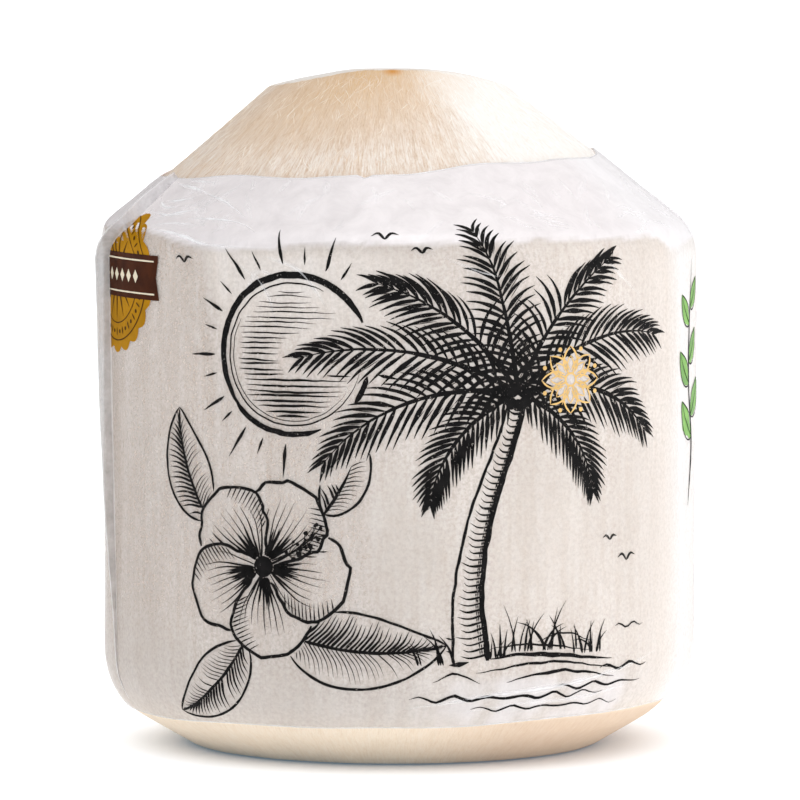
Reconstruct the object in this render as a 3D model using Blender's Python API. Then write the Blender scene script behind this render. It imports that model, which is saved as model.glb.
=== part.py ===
"""A young drinking coconut, husk pared to a drum with a cone at each end, in its printed film sleeve.

Units are metres and +Z is up. The origin is on the drum's axis, in the plane of the flat base that the
nut stands on. -Y is the front.
"""

from math import atan2, cos, pi, radians, sin, tan

import bmesh
import bpy
import numpy as np
from mathutils import Vector

# The husk, as the knife leaves it
BODY_RADIUS = 0.0557
BASE_RADIUS = 0.0384
LOWER_SHOULDER_HEIGHT = 0.0102
UPPER_SHOULDER_HEIGHT = 0.0972
TOP_CONE_SLOPE = radians(38.8)
BASE_EDGE_ROUNDING = 0.0015
LOWER_SHOULDER_ROUNDING = 0.016
UPPER_SHOULDER_ROUNDING = 0.006
ROUNDING_STEPS = 5
ROW_SPACING = 0.013
COLUMNS = 72
EDGE_ANGLE = radians(20)

# Long shallow flats that the paring knife leaves round the husk
FLAT_COUNT = 16
FLAT_DEPTH = 0.0004
FLAT_WANDER = radians(6.3)
FLAT_WANDERS_PER_METRE = 9.5

# The cones sit a little to one side of the drum: height and sideways shift
LEAN_HEIGHTS = (0.0, 0.007, 0.011, 0.018, 0.093, 0.098, 0.109, 0.1275)
LEAN_SHIFTS = (-0.0010, -0.0012, -0.0007, 0.0, 0.0, -0.0008, -0.0009, -0.0024)

# Knife cuts across the tip: the way each faces, its slope, and its height over the axis
TIP_CUTS = (
    (radians(90), radians(1.3), 0.1272),
    (radians(174), radians(11.5), 0.1290),
    (radians(15), radians(8.2), 0.1280),
    (radians(10), radians(15.9), 0.1297),
    (radians(105), radians(13.0), 0.1294),
)

# The film sleeve, shrunk on over both shoulders
FILM_THICKNESS = 0.0003
FILM_GAP = 0.00034
BAND_SLACK = 0.0001
TOP_HEM_HEIGHT = 0.1092
TOP_HEM_TILT = 0.0022
BOTTOM_HEM_HEIGHT = 0.0088
BOTTOM_HEM_TILT = 0.0011
HEM_WAVE = 0.0004
HEM_MARGIN = 0.0009
PLEAT_DEPTH = 0.00015
PLEAT_COUNT = 19
PLEAT_SLANT_PER_METRE = 40.0

# The two side folds of the flat sleeve stand out as thin fins, each so proud at each of these heights
FIN_HEIGHTS = (0.012, 0.027, 0.045, 0.065, 0.0945, 0.102, 0.1075)
FINS = (
    {
        "direction": radians(194.6),
        "proud": (0.0002, 0.0010, 0.0022, 0.0027, 0.0030, 0.0029, 0.0016),
    },
    {
        "direction": radians(-5.0),
        "proud": (0.0002, 0.0002, 0.0005, 0.0011, 0.0012, 0.0006, 0.0003),
    },
)
FIN_HALF_WIDTH = 0.0009
FIN_FOOT = {"half_width": 0.00032, "share": 0.22}

# The left fold drifts towards the front low down, and again where it crosses the shoulder
DRIFT_HEIGHTS = (0.025, 0.0925, 0.0945, 0.0985, 0.1065)
DRIFTS = (radians(4.2), 0.0, radians(2.2), radians(10.8), radians(8.0))


def rounded_outline(corners):
    """The points of a lathe outline with arcs for corners. Each corner is (radius, height, rounding)."""
    points = []
    for i, (radius, height, rounding) in enumerate(corners):
        here = np.array((radius, height))
        if rounding == 0.0:
            points.append(here)
            continue
        towards_last = np.array(corners[i - 1][:2]) - here
        towards_next = np.array(corners[i + 1][:2]) - here
        towards_last /= np.linalg.norm(towards_last)
        towards_next /= np.linalg.norm(towards_next)
        half_angle = 0.5 * np.arccos(towards_last @ towards_next)
        middle = towards_last + towards_next
        centre = here + middle / np.linalg.norm(middle) * rounding / sin(half_angle)
        start = here + towards_last * rounding / tan(half_angle) - centre
        sweep = pi - 2.0 * half_angle
        bend = towards_next[0] * towards_last[1] - towards_next[1] * towards_last[0]
        turn = 1.0 if bend > 0.0 else -1.0
        for step in range(ROUNDING_STEPS + 1):
            angle = turn * sweep * step / ROUNDING_STEPS
            turned = (
                start[0] * cos(angle) - start[1] * sin(angle),
                start[0] * sin(angle) + start[1] * cos(angle),
            )
            points.append(centre + turned)
    return np.array(points)


def with_rows(points):
    """The same outline with points added, so that no straight run is longer than the row spacing."""
    filled = [points[0]]
    for here, ahead in zip(points, points[1:]):
        runs = max(1, round(np.linalg.norm(ahead - here) / ROW_SPACING))
        filled += [here + (ahead - here) * run / runs for run in range(1, runs + 1)]
    return np.array(filled)


def husk_outline():
    """The husk's outline, from the rim of its flat base up to the uncut tip of its top cone."""
    uncut_tip_height = UPPER_SHOULDER_HEIGHT + BODY_RADIUS * tan(TOP_CONE_SLOPE)
    corners = (
        (0.0, 0.0, 0.0),
        (BASE_RADIUS, 0.0, BASE_EDGE_ROUNDING),
        (BODY_RADIUS, LOWER_SHOULDER_HEIGHT, LOWER_SHOULDER_ROUNDING),
        (BODY_RADIUS, UPPER_SHOULDER_HEIGHT, UPPER_SHOULDER_ROUNDING),
        (0.0, uncut_tip_height, 0.0),
    )
    return with_rows(rounded_outline(corners)[1:])


def wrapped(angle, period):
    """An angle brought to within half a period of zero."""
    return (angle + 0.5 * period) % period - 0.5 * period


def pared(radius, angle, height):
    """The radius once the knife has flattened the round husk a little."""
    wander = FLAT_WANDER * sin(2.0 * pi * FLAT_WANDERS_PER_METRE * height)
    flat = 0.5 + 0.5 * cos(FLAT_COUNT * (angle + wander))
    uneven = 0.6 + 0.4 * sin(3.0 * angle + 1.3)
    return radius - FLAT_DEPTH * flat * uneven * min(1.0, radius / BODY_RADIUS)


def lean(height):
    """How far the husk's own axis lies to the side of the Z axis at a height."""
    return float(np.interp(height, LEAN_HEIGHTS, LEAN_SHIFTS))


def on_husk(radius, angle, height, lift=0.0, lift_up=0.0):
    """A point of the husk, or of what is wrapped round it when it is lifted outwards and upwards."""
    reach = pared(radius, angle, height) + lift
    return Vector(
        (reach * cos(angle) + lean(height), reach * sin(angle), height + lift_up)
    )


def make_material(name, colour, roughness, alpha=1.0):
    material = bpy.data.materials.new(name)
    material.use_nodes = True
    shader = material.node_tree.nodes["Principled BSDF"]
    shader.inputs["Base Color"].default_value = (*colour, 1.0)
    shader.inputs["Roughness"].default_value = roughness
    shader.inputs["Metallic"].default_value = 0.0
    shader.inputs["Alpha"].default_value = alpha
    material.diffuse_color = (*colour, alpha)
    return material


def add_object(name, bm, material, sharp_from):
    mesh = bpy.data.meshes.new(name)
    bm.to_mesh(mesh)
    bm.free()
    mesh.materials.append(material)
    mesh.shade_smooth()
    mesh.set_sharp_from_angle(angle=sharp_from)
    obj = bpy.data.objects.new(name, mesh)
    bpy.context.scene.collection.objects.link(obj)
    return obj


def spun(bm, outline, columns):
    """Turns an outline of (radius, height) points round the Z axis into a mesh."""
    corners = [bm.verts.new((radius, 0.0, height)) for radius, height in outline]
    chain = [bm.edges.new(pair) for pair in zip(corners, corners[1:])]
    bmesh.ops.spin(
        bm,
        geom=corners + chain,
        axis=(0.0, 0.0, 1.0),
        cent=(0.0, 0.0, 0.0),
        angle=2.0 * pi,
        steps=columns,
        use_merge=True,
    )
    bmesh.ops.remove_doubles(bm, verts=bm.verts, dist=1e-6)


def cut_tip(bm, facing, slope, height):
    """One straight knife cut that takes off what stands above a sloping plane."""
    normal = (sin(slope) * cos(facing), sin(slope) * sin(facing), cos(slope))
    cut = bmesh.ops.bisect_plane(
        bm,
        geom=bm.verts[:] + bm.edges[:] + bm.faces[:],
        plane_co=(0.0, 0.0, height),
        plane_no=normal,
        clear_outer=True,
    )
    rim = [piece for piece in cut["geom_cut"] if isinstance(piece, bmesh.types.BMEdge)]
    bmesh.ops.contextual_create(bm, geom=rim)


def make_coconut():
    """The husk: turned, pared, set a little askew and cut off at the tip. It is whole and unopened."""
    bm = bmesh.new()
    spun(bm, husk_outline(), COLUMNS)
    base_rim = [edge for edge in bm.edges if edge.is_boundary]
    bmesh.ops.contextual_create(bm, geom=base_rim)
    for vert in bm.verts:
        angle = atan2(vert.co.y, vert.co.x)
        vert.co = on_husk(vert.co.xy.length, angle, vert.co.z)
    bmesh.ops.recalc_face_normals(bm, faces=bm.faces)
    for facing, slope, height in TIP_CUTS:
        cut_tip(bm, facing, slope, height)
    husk = make_material("pared_husk", (0.79, 0.63, 0.44), 0.75)
    return add_object("coconut", bm, husk, EDGE_ANGLE)


def lengths_along(outline):
    """The distance along an outline from its first point to each of its points."""
    steps = np.linalg.norm(np.diff(outline, axis=0), axis=1)
    return np.concatenate(((0.0,), np.cumsum(steps)))


def outline_place(outline, lengths, distance):
    """The point at a distance along the outline, and the outward direction there."""
    radius = np.interp(distance, lengths, outline[:, 0])
    height = np.interp(distance, lengths, outline[:, 1])
    reach = 0.0006
    ahead = [np.interp(distance + reach, lengths, outline[:, k]) for k in (0, 1)]
    behind = [np.interp(distance - reach, lengths, outline[:, k]) for k in (0, 1)]
    along = np.array(ahead) - behind
    along /= np.linalg.norm(along)
    return radius, height, along[1], -along[0]


def hem_wave(angle):
    return HEM_WAVE * (sin(5.0 * angle + 0.7) + 0.6 * sin(11.0 * angle + 2.1))


def fin_lift(angle, height):
    """How far a side fold pushes the film's outer face out at this place."""
    lift = 0.0
    for fin in FINS:
        away = abs(wrapped(angle - fin["direction"], 2.0 * pi)) * BODY_RADIUS
        steps = (0.0, FIN_FOOT["half_width"], FIN_HALF_WIDTH)
        share = np.interp(away, steps, (1.0, FIN_FOOT["share"], 0.0))
        lift = max(lift, share * np.interp(height, FIN_HEIGHTS, fin["proud"]))
    return lift


def fin_drift(angle, height):
    """How far the left fold has drifted at a height; the columns beside it go along."""
    return np.interp(height, DRIFT_HEIGHTS, DRIFTS) * 0.5 * (1.0 - cos(angle))


def sleeve_angles():
    """The directions of the sleeve's columns: even all round, with a few more where a fin stands."""
    angles = {2.0 * pi * k / COLUMNS for k in range(COLUMNS)}
    for fin in FINS:
        at = fin["direction"] % (2.0 * pi)
        reach = 1.6 * FIN_HALF_WIDTH / BODY_RADIUS
        angles = {angle for angle in angles if abs(wrapped(angle - at, 2.0 * pi)) > reach}
        for half_width in (FIN_HALF_WIDTH, FIN_FOOT["half_width"]):
            angles |= {(at + side * half_width / BODY_RADIUS) % (2.0 * pi) for side in (-1, 1)}
        angles.add(at)
    return sorted(angles)


def hems(angle, outline, lengths):
    """How far along the outline the bottom hem and the top hem lie in this direction."""
    bottom = BOTTOM_HEM_HEIGHT + BOTTOM_HEM_TILT * cos(angle) + 0.5 * hem_wave(angle + 1.0)
    top = TOP_HEM_HEIGHT + TOP_HEM_TILT * cos(angle) + hem_wave(angle)
    return np.interp((bottom, top), outline[:, 1], lengths)


def make_sleeve():
    """The film: a straight tube that is drawn over the husk, then shrunk against it."""
    outline = husk_outline()
    lengths = lengths_along(outline)
    angles = sleeve_angles()
    shoulder = np.interp(UPPER_SHOULDER_HEIGHT, outline[:, 1], lengths)
    lowest = min(hems(angle, outline, lengths)[0] for angle in angles) + 2.0 * HEM_MARGIN
    highest = max(hems(angle, outline, lengths)[1] for angle in angles) - 2.0 * HEM_MARGIN
    levels = [0.0, *(length for length in lengths if lowest < length < highest), lengths[-1]]

    # In the blank tube a point's radius says which face it is on and its height says which row
    inner_face, outer_face = 1.0, 2.0
    blank = [(outer_face, float(row)) for row in range(len(levels))]
    blank += [(inner_face, float(row)) for row in reversed(range(len(levels)))]
    bm = bmesh.new()
    spun(bm, blank + blank[:1], len(angles))

    for vert in bm.verts:
        turn = atan2(vert.co.y, vert.co.x) / (2.0 * pi)
        angle = angles[round(turn * len(angles)) % len(angles)]
        outside = vert.co.xy.length > 0.5 * (inner_face + outer_face)
        level = levels[round(vert.co.z)]
        bottom, top = hems(angle, outline, lengths)
        margin = HEM_MARGIN if 0.0 < level < lengths[-1] else 0.0
        distance = np.clip(level, bottom + margin, top - margin)
        radius, height, out, up = outline_place(outline, lengths, distance)
        on_band = np.interp(distance - shoulder, (-0.004, 0.006), (0.0, 1.0))
        pleat = PLEAT_DEPTH * sin(PLEAT_COUNT * angle + PLEAT_SLANT_PER_METRE * height)
        lift = FILM_GAP + on_band * (BAND_SLACK + pleat)
        if outside:
            lift += FILM_THICKNESS + fin_lift(angle, height)
        angle += fin_drift(angle, height)
        vert.co = on_husk(radius, angle, height, out * lift, up * lift)
    bmesh.ops.recalc_face_normals(bm, faces=bm.faces)
    film = make_material("printed_film", (0.86, 0.83, 0.82), 0.35, alpha=0.45)
    return add_object("film_sleeve", bm, film, EDGE_ANGLE)


def main():
    for obj in list(bpy.data.objects):
        bpy.data.objects.remove(obj)
    make_coconut()
    make_sleeve()


main()
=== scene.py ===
import random
from math import atan2, cos, hypot, pi, radians, sin, tan

import bmesh
import bpy
import numpy as np
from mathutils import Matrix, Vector, noise


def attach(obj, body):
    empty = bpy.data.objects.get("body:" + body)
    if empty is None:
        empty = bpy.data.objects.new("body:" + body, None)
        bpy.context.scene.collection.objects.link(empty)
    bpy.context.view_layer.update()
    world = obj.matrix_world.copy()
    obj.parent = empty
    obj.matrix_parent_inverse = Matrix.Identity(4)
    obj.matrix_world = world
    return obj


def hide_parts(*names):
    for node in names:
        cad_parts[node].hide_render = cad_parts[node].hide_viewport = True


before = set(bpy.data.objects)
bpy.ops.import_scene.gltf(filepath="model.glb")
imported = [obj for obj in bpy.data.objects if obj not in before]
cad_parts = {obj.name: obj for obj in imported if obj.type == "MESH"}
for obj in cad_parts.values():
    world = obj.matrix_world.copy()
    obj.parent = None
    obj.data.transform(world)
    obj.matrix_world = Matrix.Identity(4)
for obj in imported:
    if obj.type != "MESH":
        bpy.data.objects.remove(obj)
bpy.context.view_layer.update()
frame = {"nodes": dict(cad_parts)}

print("frame loaded:", ", ".join(frame["nodes"]))

mm = 0.001


# Short ways to wire a material

def newMaterial(name):
    material = bpy.data.materials.new(name)
    material.use_nodes = True
    return material


def setOrJoin(material, socket, value):
    if isinstance(value, bpy.types.NodeSocket):
        material.node_tree.links.new(value, socket)
    elif hasattr(value, "__len__") and len(socket.default_value) == 4:
        socket.default_value = (*value[:3], 1)
    else:
        socket.default_value = value


def addNode(material, kind, inputs, **settings):
    made = material.node_tree.nodes.new("ShaderNode" + kind)
    for name, value in settings.items():
        setattr(made, name, value)
    for name, value in inputs.items():
        setOrJoin(material, made.inputs[name], value)
    return made


def setFinish(material, **finish):
    shader = material.node_tree.nodes["Principled BSDF"]
    for name, value in finish.items():
        setOrJoin(material, shader.inputs[name.replace("_", " ")], value)


def attribute(material, name, output="Fac"):
    return addNode(material, "Attribute", {}, attribute_name=name).outputs[output]


def noiseAt(material, scale, detail=3, rough=0.6, distortion=0, vector=None):
    if vector is None:
        vector = addNode(material, "TexCoord", {}).outputs["Object"]
    inputs = {
        "Vector": vector, "Scale": scale, "Detail": detail, "Roughness": rough, "Distortion": distortion,
    }
    return addNode(material, "TexNoise", inputs).outputs["Fac"]


def grainNoise(material, stretch, *settings):
    # noise in streaks that run up the nut
    grain = attribute(material, "grain", "Vector")
    vector = addNode(material, "Mapping", {"Vector": grain, "Scale": (1, 1, stretch)}).outputs["Vector"]
    return noiseAt(material, *settings, vector=vector)


def ramp(material, factor, stops):
    made = addNode(material, "ValToRGB", {"Fac": factor})
    elements = made.color_ramp.elements
    while len(elements) < len(stops):
        elements.new(0.5)
    for element, (place, colour) in zip(elements, stops):
        element.position = place
        element.color = (*colour, 1)
    return made.outputs["Color"]


def span(material, factor, low, high, start=0.0, end=1.0):
    inputs = {"Value": factor, "From Min": low, "From Max": high, "To Min": start, "To Max": end}
    return addNode(material, "MapRange", inputs).outputs["Result"]


def between(material, factor, first, second):
    return addNode(material, "Mix", {"Factor": factor, "A": first, "B": second}).outputs["Result"]


def mixed(material, factor, first, second, blend="MIX"):
    made = addNode(material, "Mix", {"Factor": factor}, data_type="RGBA", blend_type=blend)
    setOrJoin(material, made.inputs[6], first)
    setOrJoin(material, made.inputs[7], second)
    return made.outputs[2]


def shaded(material, colour, shades):
    # each shade: a noise, its strength, the shade below one level of the noise, and the level where it ends
    for factor, strength, low, shade, high in shades:
        darker = ramp(material, factor, [(low, shade), (high, (1, 1, 1))])
        colour = mixed(material, strength, colour, darker, "MULTIPLY")
    return colour


def maths(material, operation, first, second=0.0):
    made = addNode(material, "Math", {}, operation=operation)
    setOrJoin(material, made.inputs[0], first)
    setOrJoin(material, made.inputs[1], second)
    return made.outputs[0]


def bumped(material, height, strength, distance):
    inputs = {"Height": height, "Strength": strength, "Distance": distance}
    return addNode(material, "Bump", inputs).outputs["Normal"]


# Camera, light and floor

cameraSettings = {
    "distance": 1350 * mm,
    "height": 173 * mm,
    "aimHeight": 64.5 * mm,
    "lens": 322.2,
    "sensor": 36,
    "clipEnd": 100,
}


def setCamera(settings):
    camera = bpy.data.objects.new("camera", bpy.data.cameras.new("camera"))
    bpy.context.scene.collection.objects.link(camera)
    camera.location = (0, -settings["distance"], settings["height"])
    aim = Vector((0, 0, settings["aimHeight"])) - camera.location
    camera.rotation_euler = aim.to_track_quat("-Z", "Y").to_euler()
    camera.data.sensor_width = settings["sensor"]
    camera.data.lens = settings["lens"]
    camera.data.clip_end = settings["clipEnd"]
    bpy.context.scene.camera = camera


# each lamp is a wide, far light: the way towards it, its strength, how wide it looks, and if it casts shadows
studio = {
    "tent": (0.97, 0.985, 1.0),
    "tentStrength": 0.16,
    "lamps": {
        "above": ((-0.08, -0.08, 0.99), 0.62, radians(46), False),
        "top": ((0.05, -0.32, 0.94), 1.72, radians(26), True),
        "side": ((0.96, -0.14, 0.20), 0.98, radians(50), False),
        "front": ((0.44, -0.88, 0.10), 0.27, radians(60), False),
    },
    # one more very wide lamp lights the floor alone, so that only the contact shadow shows on it
    "floorLamp": ((0, 0.06, 1.0), 4.5, radians(134), True),
    "floorSize": 14.0,
    "paper": {
        "Base_Color": (0.96, 0.96, 0.96), "Roughness": 0.9, "Specular_IOR_Level": 0.1,
        # the paper also glows a little: a painted bluish light that lifts and cools its contact shadow
        "Emission_Color": (0.3, 0.62, 1.0), "Emission_Strength": 0.085,
    },
}


def addLamp(name, group, towards, strength, width, shadow):
    lamp = bpy.data.objects.new(name, bpy.data.lights.new(name, "SUN"))
    lamp.data.energy = strength
    lamp.data.angle = width
    lamp.data.use_shadow = shadow
    lamp.rotation_euler = (-Vector(towards)).to_track_quat("-Z", "Y").to_euler()
    lamp.light_linking.receiver_collection = group
    bpy.context.scene.collection.objects.link(lamp)


def floorGroup(name, floor, state):
    # what a lamp lights: the floor alone, or all but the floor
    group = bpy.data.collections.new(name)
    group.objects.link(floor)
    group.collection_objects[0].light_linking.link_state = state
    return group


def setStudio(settings):
    scene = bpy.context.scene
    scene.view_settings.view_transform = "Standard"
    world = bpy.data.worlds.new("tent")
    world.use_nodes = True
    background = world.node_tree.nodes["Background"]
    background.inputs["Color"].default_value = (*settings["tent"], 1)
    background.inputs["Strength"].default_value = settings["tentStrength"]
    scene.world = world

    bm = bmesh.new()
    bmesh.ops.create_grid(bm, x_segments=1, y_segments=1, size=settings["floorSize"])
    mesh = bpy.data.meshes.new("floor")
    bm.to_mesh(mesh)
    bm.free()
    floor = bpy.data.objects.new("floor", mesh)
    scene.collection.objects.link(floor)
    paper = newMaterial("floorPaper")
    setFinish(paper, **settings["paper"])
    mesh.materials.append(paper)
    allButFloor = floorGroup("allButFloor", floor, "EXCLUDE")
    for name, lamp in settings["lamps"].items():
        addLamp(name, allButFloor, *lamp)
    addLamp("floorLamp", floorGroup("floorAlone", floor, "INCLUDE"), *settings["floorLamp"])


setCamera(cameraSettings)
setStudio(studio)
print("camera, light and floor set")


# The nut's shape. A place on it is an angle round Z and a distance along its outline

nut = {
    "drumRadius": 55.7 * mm,
    "baseRadius": 38.4 * mm,
    "lowShoulder": 10.2 * mm,
    "highShoulder": 97.2 * mm,
    "coneSlope": radians(38.8),
    "baseRounding": 1.5 * mm,
    "lowRounding": 16 * mm,
    "highRounding": 6 * mm,
    "leanHeights": (0, 0.007, 0.011, 0.018, 0.093, 0.098, 0.109, 0.1275),
    "leanShifts": (-0.0010, -0.0012, -0.0007, 0, 0, -0.0008, -0.0009, -0.0024),
    "flats": 16,
    "flatDepth": 0.4 * mm,
    "flatWander": radians(6.3),
    "wandersPerMetre": 9.5,
    # the way each knife cut at the tip faces, its slope, and its height over the axis
    "tipCuts": (
        (radians(90), radians(1.3), 0.1272),
        (radians(177.5), radians(11.5), 0.1290),
        (radians(15), radians(8.2), 0.1280),
        (radians(10), radians(15.9), 0.1297),
        (radians(105), radians(13.0), 0.1294),
    ),
    "cutEdge": 0.25 * mm,
    # one broad pale face is pared flat on the cone, to the right of the front; it runs out under the film
    "paleFace": (radians(-43), radians(37.5), 0.1390),
    "runOutHeights": (0.1035, 0.1085),
    "runOut": 1.8 * mm,
}


def roundedCorners(corners, steps):
    points = []
    for i, (radius, height, rounding) in enumerate(corners):
        here = Vector((radius, height))
        if rounding == 0:
            points.append(here)
            continue
        back = (Vector(corners[i - 1][:2]) - here).normalized()
        ahead = (Vector(corners[i + 1][:2]) - here).normalized()
        half = back.angle(ahead) / 2
        centre = here + (back + ahead).normalized() * rounding / sin(half)
        start = here + back * rounding / tan(half) - centre
        end = here + ahead * rounding / tan(half) - centre
        points += [centre + start.slerp(end, step / steps) * rounding for step in range(steps + 1)]
    return points


def makeOutline(settings):
    reach = settings["highShoulder"] + settings["drumRadius"] * tan(settings["coneSlope"])
    corners = (
        (0, 0, 0),
        (settings["baseRadius"], 0, settings["baseRounding"]),
        (settings["drumRadius"], settings["lowShoulder"], settings["lowRounding"]),
        (settings["drumRadius"], settings["highShoulder"], settings["highRounding"]),
        (0, reach, 0),
    )
    points = np.array(roundedCorners(corners, 24))
    along = np.concatenate(([0], np.cumsum(np.linalg.norm(np.diff(points, axis=0), axis=1))))
    slope = np.gradient(points, along, axis=0)
    slope /= np.linalg.norm(slope, axis=1)[:, None]
    radius, height = points.T
    return {"radius": radius, "height": height, "along": along, "out": slope[:, 1], "up": -slope[:, 0]}


outline = makeOutline(nut)
outlineEnd = outline["along"][-1]


def alongOutline(distance, what):
    return np.interp(distance, outline["along"], outline[what])


def distanceAt(height):
    # the outline climbs all the way, apart from the flat base
    return np.interp(height, outline["height"][1:], outline["along"][1:])


def leanAt(height):
    return np.interp(height, nut["leanHeights"], nut["leanShifts"])


def paredRadius(radius, angle, height):
    wander = nut["flatWander"] * np.sin(2 * pi * nut["wandersPerMetre"] * height)
    flat = 1 - (np.mod(nut["flats"] * (angle + wander) / pi + 1, 2) - 1) ** 2
    uneven = 0.6 + 0.4 * np.sin(3 * angle + 1.3)
    return radius - nut["flatDepth"] * flat * uneven * np.minimum(1, radius / nut["drumRadius"])


def onNut(angle, distance, lift):
    height = alongOutline(distance, "height")
    reach = paredRadius(alongOutline(distance, "radius"), angle, height)
    reach = reach + lift * alongOutline(distance, "out")
    up = height + lift * alongOutline(distance, "up")
    return np.stack((reach * np.cos(angle) + leanAt(height), reach * np.sin(angle), up), axis=1)


def degreesFromFront(angle):
    # 0 at the front, 90 on the right, -90 on the left
    return np.degrees(np.mod(angle + pi / 2 + pi, 2 * pi) - pi)


def rise(value, start, run):
    # 0 up to start, then up to 1 over the run; a run under 0 goes the other way
    return np.clip((value - start) / run, 0, 1)


def planeOver(points, facing, slope, height):
    return height - tan(slope) * (points[:, 0] * cos(facing) + points[:, 1] * sin(facing))


def withTipCut(points, lift=0.0):
    # the lowest of the cone and the knife's planes, with the edges between them a little soft
    x, y, z = points.T
    paleFace = planeOver(points, *nut["paleFace"]) + np.interp(z, nut["runOutHeights"], (nut["runOut"], 0))
    levels = [z, paleFace + lift]
    levels += [planeOver(points, *cut) + lift for cut in nut["tipCuts"]]
    levels = np.array(levels)
    lowest = levels.min(axis=0)
    closeness = np.exp((lowest - levels) / nut["cutEdge"]).sum(axis=0)
    softened = lowest - nut["cutEdge"] * np.log(closeness)
    return np.stack((x, y, np.where(closeness > 1.001, softened, lowest)), axis=1)


def spacedRows(stops):
    # each stop is a distance along the outline and the row spacing up to it
    rows = [stops[0][0]]
    for (start, _), (end, spacing) in zip(stops, stops[1:]):
        count = max(1, round((end - start) / spacing))
        rows += [start + (end - start) * k / count for k in range(1, count + 1)]
    return rows


def blankSkin(rows, columns):
    # a flat grid that goes once round the nut, with its seam at the back
    bm = bmesh.new()
    bmesh.ops.create_grid(bm, x_segments=columns, y_segments=len(rows) - 1, size=0.5)
    flat = np.array([vert.co for vert in bm.verts])
    share = (flat[:, 1] + 0.5) * (len(rows) - 1)
    return bm, 2 * pi * flat[:, 0] - pi / 2, np.interp(share, range(len(rows)), rows)


def moveTo(bm, places):
    for vert, place in zip(bm.verts, places):
        vert.co = place


def closedSkin(bm, angle, distance, places):
    # every vertex goes to its place, and keeps its angle and distance in a layer
    grain = bm.verts.layers.float_vector.new("grain")
    for vert, a, d in zip(bm.verts, angle, distance):
        vert[grain] = (cos(a), sin(a), d / nut["drumRadius"])
    moveTo(bm, places)
    bmesh.ops.remove_doubles(bm, verts=bm.verts, dist=1e-6)
    bmesh.ops.recalc_face_normals(bm, faces=bm.faces)


def setLayer(bm, name, values):
    layer = bm.verts.layers.float.new(name)
    for vert, value in zip(bm.verts, values):
        vert[layer] = value


def noiseOver(angle, distance, around, along, seed=0.0):
    # even noise over the skin: its grains are 1/around of the drum's radius wide
    turn = np.stack((np.cos(angle) * around, np.sin(angle) * around, distance * along + seed), axis=1)
    return np.array([noise.noise(place) for place in turn])


def finishedPiece(name, bm, material, node):
    mesh = bpy.data.meshes.new(name)
    bm.to_mesh(mesh)
    bm.free()
    mesh.materials.append(material)
    mesh.shade_smooth()
    piece = bpy.data.objects.new(name, mesh)
    bpy.context.scene.collection.objects.link(piece)
    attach(piece, "root")
    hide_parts(node)
    print(name, "has", sum(len(face.vertices) - 2 for face in mesh.polygons), "triangles")


# The husk: pared fibre, with strands that run up the cone

husk = {
    "columns": 420,
    # the row spacing up to each height, and then up to each distance below the tip
    "rows": ((0.0003, 3.5 * mm), (0.010, 0.8 * mm), (0.020, 1.0 * mm), (0.090, 2.6 * mm), (0.104, 1.0 * mm)),
    "tipRows": ((6 * mm, 0.5 * mm), (0, 1.2 * mm)),
    "knifeWave": 0.12 * mm,
    "strandRelief": 0.05 * mm,
    "stemSpot": (-1.4 * mm, -18.0 * mm, 127.2 * mm),
    "spotReach": 1.7 * mm,
    "stainShift": (5 * mm, 0, 0),
    "stainReach": 19 * mm,
    # painted light: the cone's right side is painted pale where the light falls on it, from here round to the
    # right, in degrees from the front, at these heights
    "litSideHeights": (0.104, 0.112, 0.120, 0.127),
    "litSideFrom": (36, 32, 24, 15),
    "strandColours": [
        (0.28, (0.70, 0.57, 0.46)), (0.44, (0.83, 0.71, 0.61)),
        (0.60, (0.89, 0.80, 0.715)), (0.78, (0.97, 0.93, 0.88)),
    ],
    # the knife-cut faces take this pale colour, and so does the cone's right side as painted light
    "paleColour": (0.985, 0.975, 0.955),
    "baseColour": (0.97, 0.815, 0.625),
    # painted shade for the base where it turns to the right
    "paintedBaseShade": (0.87, 0.80, 0.76),
    "stainColour": (0.70, 0.45, 0.22),
    "spotColour": (0.66, 0.30, 0.07),
}


def huskRelief(angle, distance):
    # how far knife marks and strands lift the surface; far less where the film lies on it
    bare = rise(distance, distanceAt(0.105), 0.004)
    wave = noiseOver(angle, distance, 7, 60)
    strand = noiseOver(angle, distance, 40, 90, 9)
    return (husk["knifeWave"] * wave + husk["strandRelief"] * strand) * (0.25 + 0.75 * bare)


def paintedLitSide(angle, height):
    # painted light: 1 on the cone's right side, painted pale where the light falls on it, 0 on its tan side
    fromFront = degreesFromFront(angle)
    border = np.interp(height, husk["litSideHeights"], husk["litSideFrom"])
    side = np.clip((fromFront - border) / 32 + 0.5, 0, 1)
    return side * rise(fromFront, 172, -40) * rise(height, 0.10, 0.004)


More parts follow.
